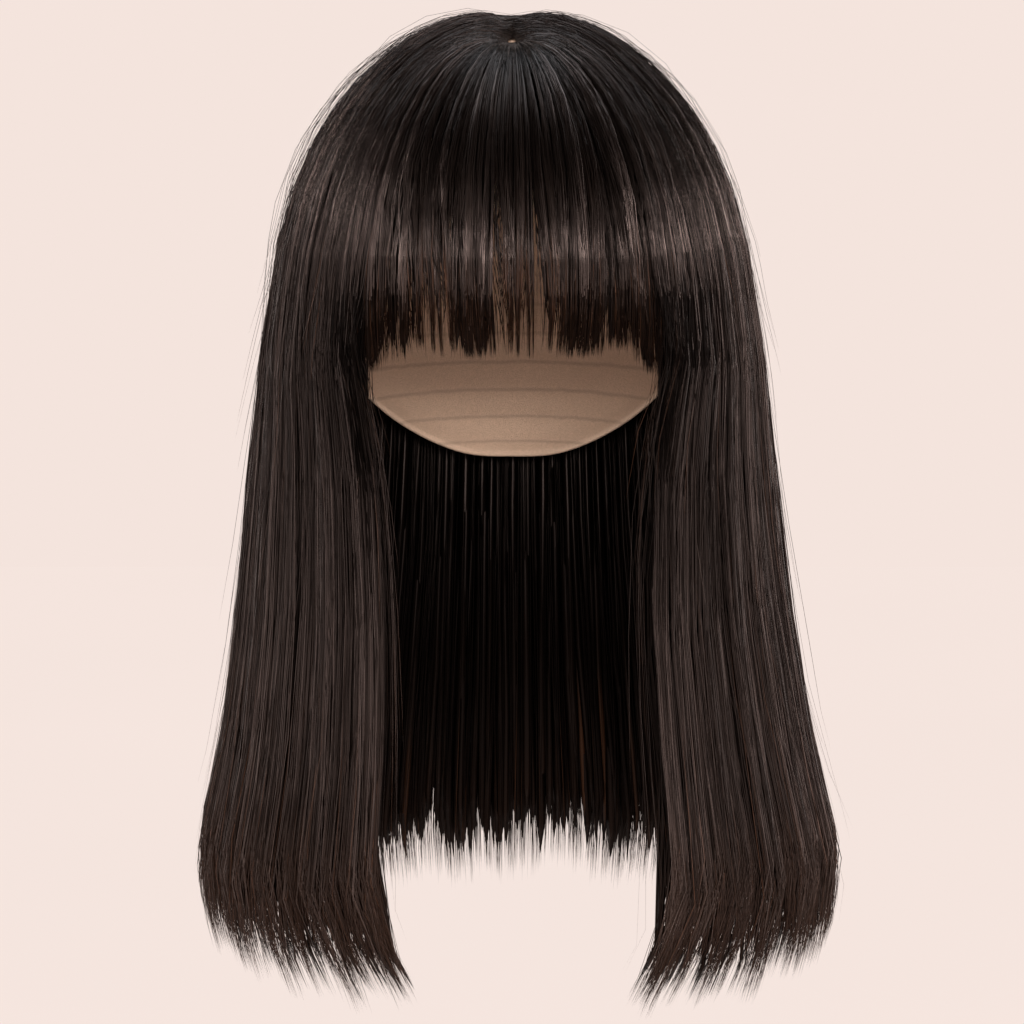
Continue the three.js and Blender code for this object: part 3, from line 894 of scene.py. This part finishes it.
def make_fall(name, pieces, hair):
    """Lays the strands of one fall. pieces gives the layers of each object."""
    rng = np.random.default_rng(hair.seed + list(FALLS).index(name))
    tufts = tuft_table(FALLS[name], rng)
    for piece, layers in pieces.items():
        strands = [StrandLayer(name, layer, tufts, hair, rng) for layer in LAYERS[layers]]
        dress(strand_object(piece, strands, rng), hair_materials(hair), name)


# The kind and the limits that many settings share.
COLOUR = {"subtype": "COLOR", "min": 0.0, "max": 1.0}
FACTOR = {"subtype": "FACTOR", "min": 0.0, "max": 1.0}


class WigHairSettings(bpy.types.PropertyGroup):
    """Sizes and colours of the hair."""

    strand_radius: bpy.props.FloatProperty(
        name="Strand radius",
        description="Half the thickness of a drawn strand, which stands for a few hairs",
        default=0.00019, min=0.00005, max=0.001, precision=5, unit="LENGTH",
    )
    hem_sweep: bpy.props.FloatProperty(
        name="Hem sweep", description="How far the tips of the side falls turn in at the hem",
        default=0.010, min=0.0, max=0.03, unit="LENGTH",
    )
    dark: bpy.props.FloatVectorProperty(
        name="Dark", description="The darkest strands", **COLOUR,
        default=(0.0025, 0.0018, 0.0016),
    )
    brown: bpy.props.FloatVectorProperty(
        name="Brown", description="The common lighter strands", **COLOUR,
        default=(0.010, 0.0062, 0.0048),
    )
    copper: bpy.props.FloatVectorProperty(
        name="Copper", description="The few reddish strands", **COLOUR,
        default=(0.075, 0.033, 0.017),
    )
    root: bpy.props.FloatVectorProperty(
        name="Root", description="The roots, where the skin shows through", **COLOUR,
        default=(0.055, 0.044, 0.039),
    )
    sheen: bpy.props.FloatVectorProperty(
        name="Sheen", description="The tint of the hair's gloss", **COLOUR,
        default=(1.0, 0.79, 0.73),
    )
    roughness: bpy.props.FloatProperty(
        name="Roughness", description="Softness of the hair's gloss", default=0.25, **FACTOR,
    )
    copper_share: bpy.props.FloatProperty(
        name="Copper share", description="Share of the strands that are reddish", default=0.06, **FACTOR,
    )
    gloss: bpy.props.FloatProperty(
        name="Gloss", description="Strength of the hair's gloss", default=0.5, **FACTOR,
    )
    seed: bpy.props.IntProperty(
        name="Seed", description="Start of the random spread of the strands", default=11, min=0,
    )


class WigCapSettings(bpy.types.PropertyGroup):
    """Sizes and colours of the cap and the parting."""

    net: bpy.props.FloatVectorProperty(
        name="Net", description="The cap's net", **COLOUR,
        default=(0.62, 0.45, 0.33),
    )
    skin: bpy.props.FloatVectorProperty(
        name="Parting", description="The skin-coloured patch under the parting", **COLOUR,
        default=(0.62, 0.41, 0.28),
    )
    row_spacing: bpy.props.FloatProperty(
        name="Row spacing", description="Distance between the sewn rows of hair inside the cap",
        default=0.013, min=0.005, max=0.03, unit="LENGTH",
    )
    row_height: bpy.props.FloatProperty(
        name="Row height", description="How far a sewn row stands out inside the cap",
        default=0.0005, min=0.0, max=0.002, precision=4, unit="LENGTH",
    )


class WigStageSettings(bpy.types.PropertyGroup):
    """The camera, the backdrop and the floor."""

    backdrop: bpy.props.FloatVectorProperty(
        name="Backdrop", description="The pale floor and wall", **COLOUR,
        default=(0.905, 0.776, 0.723),
    )
    floor_height: bpy.props.FloatProperty(
        name="Floor height", description="Height of the floor below the wig", default=-0.62, unit="LENGTH",
    )
    elevation: bpy.props.FloatProperty(
        name="Camera elevation", description="How far the camera looks down", subtype="ANGLE",
        default=math.radians(8.0),
    )
    distance: bpy.props.FloatProperty(
        name="Camera distance", description="From the camera to the middle of the wig", default=1.2,
        unit="LENGTH",
    )
    aim_height: bpy.props.FloatProperty(
        name="Aim height", description="Height of the point that the camera aims at", default=-0.19,
        unit="LENGTH",
    )
    lens: bpy.props.FloatProperty(
        name="Lens", description="Focal length in millimetres on a 36 mm sensor", default=102.86,
    )


def bent_by(bm, place):
    """Moves each vertex of a bmesh to where place, on arrays of its coordinates, puts it."""
    points = np.array([vert.co for vert in bm.verts])
    for vert, point in zip(bm.verts, place(points)):
        vert.co = point


def finished_object(name, bm):
    """A smooth object of a bmesh."""
    mesh = bpy.data.meshes.new(name)
    bm.to_mesh(mesh)
    bm.free()
    mesh.shade_smooth()
    obj = bpy.data.objects.new(name, mesh)
    bpy.context.scene.collection.objects.link(obj)
    return obj


class WIG_OT_cap(bpy.types.Operator):
    """Make the net cap, with the rows that the hair is sewn to and a band at its rim"""

    bl_idname = "wig.make_cap"
    bl_label = "Net Cap"

    COLUMNS = 96
    ROWS = 100
    KEPT_ROWS = 76
    BAND = 0.008
    BAND_HEIGHT = 0.0005
    BAND_FULL = 0.7
    ROW_SHARPNESS = 4

    def execute(self, context):
        settings = context.scene.wig_cap
        bm = bmesh.new()
        bmesh.ops.create_uvsphere(bm, u_segments=self.COLUMNS, v_segments=self.ROWS, radius=1.0)
        lowest = math.cos(math.pi * (self.KEPT_ROWS + 0.5) / self.ROWS)
        below = [vert for vert in bm.verts if vert.co.z < lowest]
        bmesh.ops.delete(bm, geom=below, context="VERTS")
        full = math.pi * self.KEPT_ROWS / self.ROWS
        row_mark = bm.verts.layers.float.new(SEWN_ROW)

        def on_head(points):
            azimuth = np.degrees(np.arctan2(points[:, 0], -points[:, 1]))
            rim = np.radians(read(CAP_RIM, "azimuth", "down", from_forehead(azimuth)))
            down = np.arccos(np.clip(points[:, 2], -1.0, 1.0)) / full * rim
            lies = down * HEAD_HEIGHT
            for vert, value in zip(bm.verts, lies / settings.row_spacing):
                vert[row_mark] = value
            row = 0.5 + 0.5 * np.cos(2.0 * math.pi * lies / settings.row_spacing)
            band = smooth(rim * HEAD_HEIGHT - lies, self.BAND, self.BAND_FULL * self.BAND)
            inset = settings.row_height * row ** self.ROW_SHARPNESS * (1.0 - band) + self.BAND_HEIGHT * band
            half_length = HEAD_HALF_LENGTH - inset
            x, y = outline(HEAD_HALF_WIDTH - inset, half_length, half_length, azimuth)
            z = (HEAD_HEIGHT - inset) * np.cos(down) - HEAD_HEIGHT
            return np.stack([x * np.sin(down), y * np.sin(down), z], axis=-1)

        bent_by(bm, on_head)
        bmesh.ops.recalc_face_normals(bm, faces=bm.faces)
        bmesh.ops.solidify(bm, geom=bm.faces[:], thickness=-CAP_WALL)
        dress(finished_object("net_cap", bm), [net_material(settings)], "cap")
        return {"FINISHED"}


def net_material(settings):
    """A matt, fine net, with a darker line along each row that hair is sewn to."""
    bench = NodeBench(bpy.data.materials.new("cap_net"))
    place = bench.add("ShaderNodeTexCoord").outputs["Object"]
    cells = bench.add("ShaderNodeTexVoronoi", {"feature": "DISTANCE_TO_EDGE"}, Vector=place, Scale=1700.0)
    thread = bench.rise(cells.outputs["Distance"], (0.0, 0.3), 1.0, 0.0)
    net = np.array(settings.net)
    colour = bench.ramp(thread, ((0.0, 0.7 * net), (1.0, 1.1 * net)))
    row = bench.add("ShaderNodeAttribute", {"attribute_name": SEWN_ROW})
    ripple = bench.add("ShaderNodeTexNoise", Vector=place, Scale=90.0, Detail=2.0)
    uneven = bench.add("ShaderNodeMath", {"operation": "MULTIPLY_ADD"}, _0=ripple.outputs["Fac"], _1=0.12,
                       _2=row.outputs["Fac"])
    wave = bench.add("ShaderNodeMath", {"operation": "PINGPONG"}, _0=uneven.outputs["Value"], _1=0.5)
    seam = bench.rise(wave.outputs["Value"], (0.02, 0.10), 0.78, 1.0)
    sewn = bench.add("ShaderNodeVectorMath", {"operation": "SCALE"}, _0=colour, Scale=seam)
    bump = bench.add("ShaderNodeBump", Height=thread, Strength=0.5, Distance=0.0003)
    return bench.finish(Base_Color=sewn.outputs["Vector"], Roughness=0.85, Normal=bump.outputs["Normal"])


class WIG_OT_parting_patch(bpy.types.Operator):
    """Make the thin patch on the crown that shows between the hairs of the parting"""

    bl_idname = "wig.make_parting_patch"
    bl_label = "Parting Patch"

    COLUMNS = 12
    ROWS = 60
    END_WIDTH = 0.25

    def execute(self, context):
        bm = bmesh.new()
        bmesh.ops.create_grid(bm, x_segments=self.COLUMNS, y_segments=self.ROWS, size=1.0)

        def on_crown(points):
            ends = (PARTING_FRONT - PATCH_HALF_WIDTH, PARTING_BACK + PATCH_HALF_WIDTH)
            y = lerp(ends[0], ends[1], 0.5 + 0.5 * points[:, 1])
            past = np.maximum(np.maximum(PARTING_FRONT - y, y - PARTING_BACK), 0.0)
            least = (self.END_WIDTH * PATCH_HALF_WIDTH) ** 2
            half = np.sqrt(np.maximum(PATCH_HALF_WIDTH ** 2 - past ** 2, least))
            x = half * points[:, 0]
            return np.stack([x, y, head_height(x, y, CAP_WALL + PATCH_GAP)], axis=-1)

        bent_by(bm, on_crown)
        bmesh.ops.recalc_face_normals(bm, faces=bm.faces)
        bmesh.ops.solidify(bm, geom=bm.faces[:], thickness=-PATCH_WALL)
        patch = finished_object("parting_skin", bm)
        dress(patch, [skin_material(context.scene.wig_cap)], "parting_patch")
        return {"FINISHED"}


def skin_material(settings):
    """A skin-coloured weave with small mottles."""
    bench = NodeBench(bpy.data.materials.new("parting_skin"))
    place = bench.add("ShaderNodeTexCoord").outputs["Object"]
    mottle = bench.add("ShaderNodeTexNoise", Vector=place, Scale=900.0, Detail=4.0)
    skin = np.array(settings.skin)
    colour = bench.ramp(mottle.outputs["Fac"], ((0.3, 0.55 * skin), (0.7, 1.2 * skin)))
    weave = bench.add("ShaderNodeTexWave", Vector=place, Scale=800.0, Distortion=1.0)
    bump = bench.add("ShaderNodeBump", Height=weave.outputs["Fac"], Strength=0.4, Distance=0.0002)
    return bench.finish(Base_Color=colour, Roughness=0.7, Normal=bump.outputs["Normal"])


class WIG_OT_fringe(bpy.types.Operator):
    """Lay the strands of the fringe"""

    bl_idname = "wig.make_fringe"
    bl_label = "Fringe"

    def execute(self, context):
        make_fall("fringe", {"fringe_strands": "fringe"}, context.scene.wig_hair)
        return {"FINISHED"}


class WIG_OT_side_hair(bpy.types.Operator):
    """Lay the strands of the two side falls"""

    bl_idname = "wig.make_side_hair"
    bl_label = "Side Hair"

    def execute(self, context):
        left = {"left_strands": "side", "left_under_strands": "side_under"}
        right = {"right_strands": "side", "right_under_strands": "side_under"}
        make_fall("side_hair_left", left, context.scene.wig_hair)
        make_fall("side_hair_right", right, context.scene.wig_hair)
        return {"FINISHED"}


class WIG_OT_back_hair(bpy.types.Operator):
    """Lay the strands of the back fall"""

    bl_idname = "wig.make_back_hair"
    bl_label = "Back Hair"

    def execute(self, context):
        pieces = {"back_strands": "back", "back_under_strands": "back_under"}
        make_fall("back_hair", pieces, context.scene.wig_hair)
        return {"FINISHED"}


def floor_material(settings):
    """A pale paper that glows evenly and takes a little shade."""
    bench = NodeBench(bpy.data.materials.new("pale_floor"))
    place = bench.add("ShaderNodeTexCoord").outputs["Object"]
    cloud = bench.add("ShaderNodeTexNoise", Vector=place, Scale=1.2, Detail=2.0)
    tint = np.array(settings.backdrop)
    colour = bench.ramp(cloud.outputs["Fac"], ((0.3, 0.985 * tint), (0.7, tint)))
    return bench.finish(Base_Color=(0.02, 0.02, 0.02, 1.0), Roughness=1.0, Specular_IOR_Level=0.0,
                        Emission_Color=colour, Emission_Strength=1.0)


# The soft room: how bright it is by elevation, so that hair that hangs shines where it turns up to the
# lights, its tint, and how much brighter it is towards +X.
ROOM = {
    "elevation": (-90, -35, -22, -12, -4, 6, 16, 26, 36, 56, 72, 90),
    "bright": (0.05, 0.05, 0.12, 1.90, 2.20, 2.00, 1.75, 0.50, 0.04, 0.04, 0.40, 1.40),
}
ROOM_TINT = (1.0, 0.87, 0.82)
ROOM_LEAN = 0.25

# Panel lights: place, the point that they face, width and height, power and colour.
PANELS = {
    "top_panel": {
        "place": (0.0, 0.5, 1.5), "faces": (0.0, 0.0, 0.0), "size": (3.4, 1.3), "power": 31.0,
        "colour": (0.88, 0.94, 1.0),
    },
    "front_panel": {
        "place": (0.3, -2.4, 0.45), "faces": (0.0, 0.0, -0.1), "size": (2.2, 0.4), "power": 49.0,
        "colour": (1.0, 0.93, 0.89),
    },
}


def aim(obj, place, target):
    """Puts an object at a place and turns its -Z axis to a target."""
    obj.location = place
    obj.rotation_euler = (Vector(target) - Vector(place)).to_track_quat("-Z", "Y").to_euler()


class WIG_OT_stage(bpy.types.Operator):
    """Make the floor, the room, the lights and the camera"""

    bl_idname = "wig.make_stage"
    bl_label = "Stage"

    FLOOR_CENTRE = (0.0, 0.9)
    FLOOR_HALF_SIZE = 1.65
    SENSOR_WIDTH = 36.0

    def execute(self, context):
        settings = context.scene.wig_stage
        self.make_floor(settings)
        self.make_room(context.scene, settings)
        for name, row in PANELS.items():
            light = bpy.data.lights.new(name, "AREA")
            light.shape = "RECTANGLE"
            light.size, light.size_y = row["size"]
            light.energy = row["power"]
            light.color = row["colour"]
            panel = bpy.data.objects.new(name, light)
            context.scene.collection.objects.link(panel)
            aim(panel, row["place"], row["faces"])
        camera = bpy.data.cameras.new("camera")
        camera.sensor_width = self.SENSOR_WIDTH
        camera.lens = settings.lens
        seat = bpy.data.objects.new("camera", camera)
        context.scene.collection.objects.link(seat)
        target = (0.0, 0.0, settings.aim_height)
        back = settings.distance * math.cos(settings.elevation)
        rise = settings.distance * math.sin(settings.elevation)
        aim(seat, (0.0, -back, settings.aim_height + rise), target)
        context.scene.camera = seat
        context.scene.view_settings.view_transform = "Standard"
        return {"FINISHED"}

    def make_floor(self, settings):
        """A plain pale floor."""
        bm = bmesh.new()
        bmesh.ops.create_grid(bm, x_segments=8, y_segments=8, size=self.FLOOR_HALF_SIZE)
        bmesh.ops.translate(bm, verts=bm.verts, vec=(*self.FLOOR_CENTRE, settings.floor_height))
        floor = finished_object("floor", bm)
        floor.data.materials.append(floor_material(settings))

    def make_room(self, scene, settings):
        """A room that shows as the pale backdrop and lights by elevation."""
        bench = NodeBench(bpy.data.worlds.new("soft_room"))
        direction = bench.add("ShaderNodeTexCoord").outputs["Generated"]
        split = bench.add("ShaderNodeSeparateXYZ", Vector=direction)
        height = bench.rise(split.outputs["Z"], (-1.0, 1.0), 0.0, 1.0)
        heights = 0.5 + 0.5 * np.sin(np.radians(ROOM["elevation"]))
        colours = [bright * np.array(ROOM_TINT) for bright in ROOM["bright"]]
        colour = bench.ramp(height, list(zip(heights, colours)))
        lean = bench.add("ShaderNodeMath", {"operation": "MULTIPLY_ADD"}, _0=split.outputs["X"], _1=ROOM_LEAN,
                         _2=1.0)
        light = bench.fill(bench.nodes["Background"], Color=colour, Strength=lean.outputs["Value"])
        paper = bench.add("ShaderNodeBackground", Color=(*settings.backdrop, 1.0))
        seen = bench.add("ShaderNodeLightPath").outputs["Is Camera Ray"]
        mix = bench.add("ShaderNodeMixShader", Fac=seen, _1=light.outputs["Background"],
                        _2=paper.outputs["Background"])
        bench.fill(bench.nodes["World Output"], Surface=mix.outputs["Shader"])
        scene.world = bench.owner


class WIG_PT_panel(bpy.types.Panel):
    """Lists the wig's pieces and settings."""

    bl_label = "Wig"
    bl_idname = "WIG_PT_panel"
    bl_space_type = "VIEW_3D"
    bl_region_type = "UI"
    bl_category = "Wig"

    def draw(self, context):
        column = self.layout.column()
        for operator in OPERATORS:
            column.operator(operator.bl_idname)
        for settings in (context.scene.wig_hair, context.scene.wig_cap, context.scene.wig_stage):
            for name in settings.bl_rna.properties.keys():
                if name not in ("rna_type", "name"):
                    column.prop(settings, name)


OPERATORS = (
    WIG_OT_cap, WIG_OT_parting_patch, WIG_OT_fringe, WIG_OT_side_hair, WIG_OT_back_hair, WIG_OT_stage,
)
CLASSES = (WigHairSettings, WigCapSettings, WigStageSettings, *OPERATORS, WIG_PT_panel)


def register():
    for cls in CLASSES:
        bpy.utils.register_class(cls)
    bpy.types.Scene.wig_hair = bpy.props.PointerProperty(type=WigHairSettings)
    bpy.types.Scene.wig_cap = bpy.props.PointerProperty(type=WigCapSettings)
    bpy.types.Scene.wig_stage = bpy.props.PointerProperty(type=WigStageSettings)


def unregister():
    del bpy.types.Scene.wig_stage
    del bpy.types.Scene.wig_cap
    del bpy.types.Scene.wig_hair
    for cls in reversed(CLASSES):
        bpy.utils.unregister_class(cls)


def main():
    register()
    bpy.ops.wig.make_cap()
    bpy.ops.wig.make_parting_patch()
    bpy.ops.wig.make_fringe()
    bpy.ops.wig.make_side_hair()
    bpy.ops.wig.make_back_hair()
    bpy.ops.wig.make_stage()


if __name__ == "__main__":
    main()
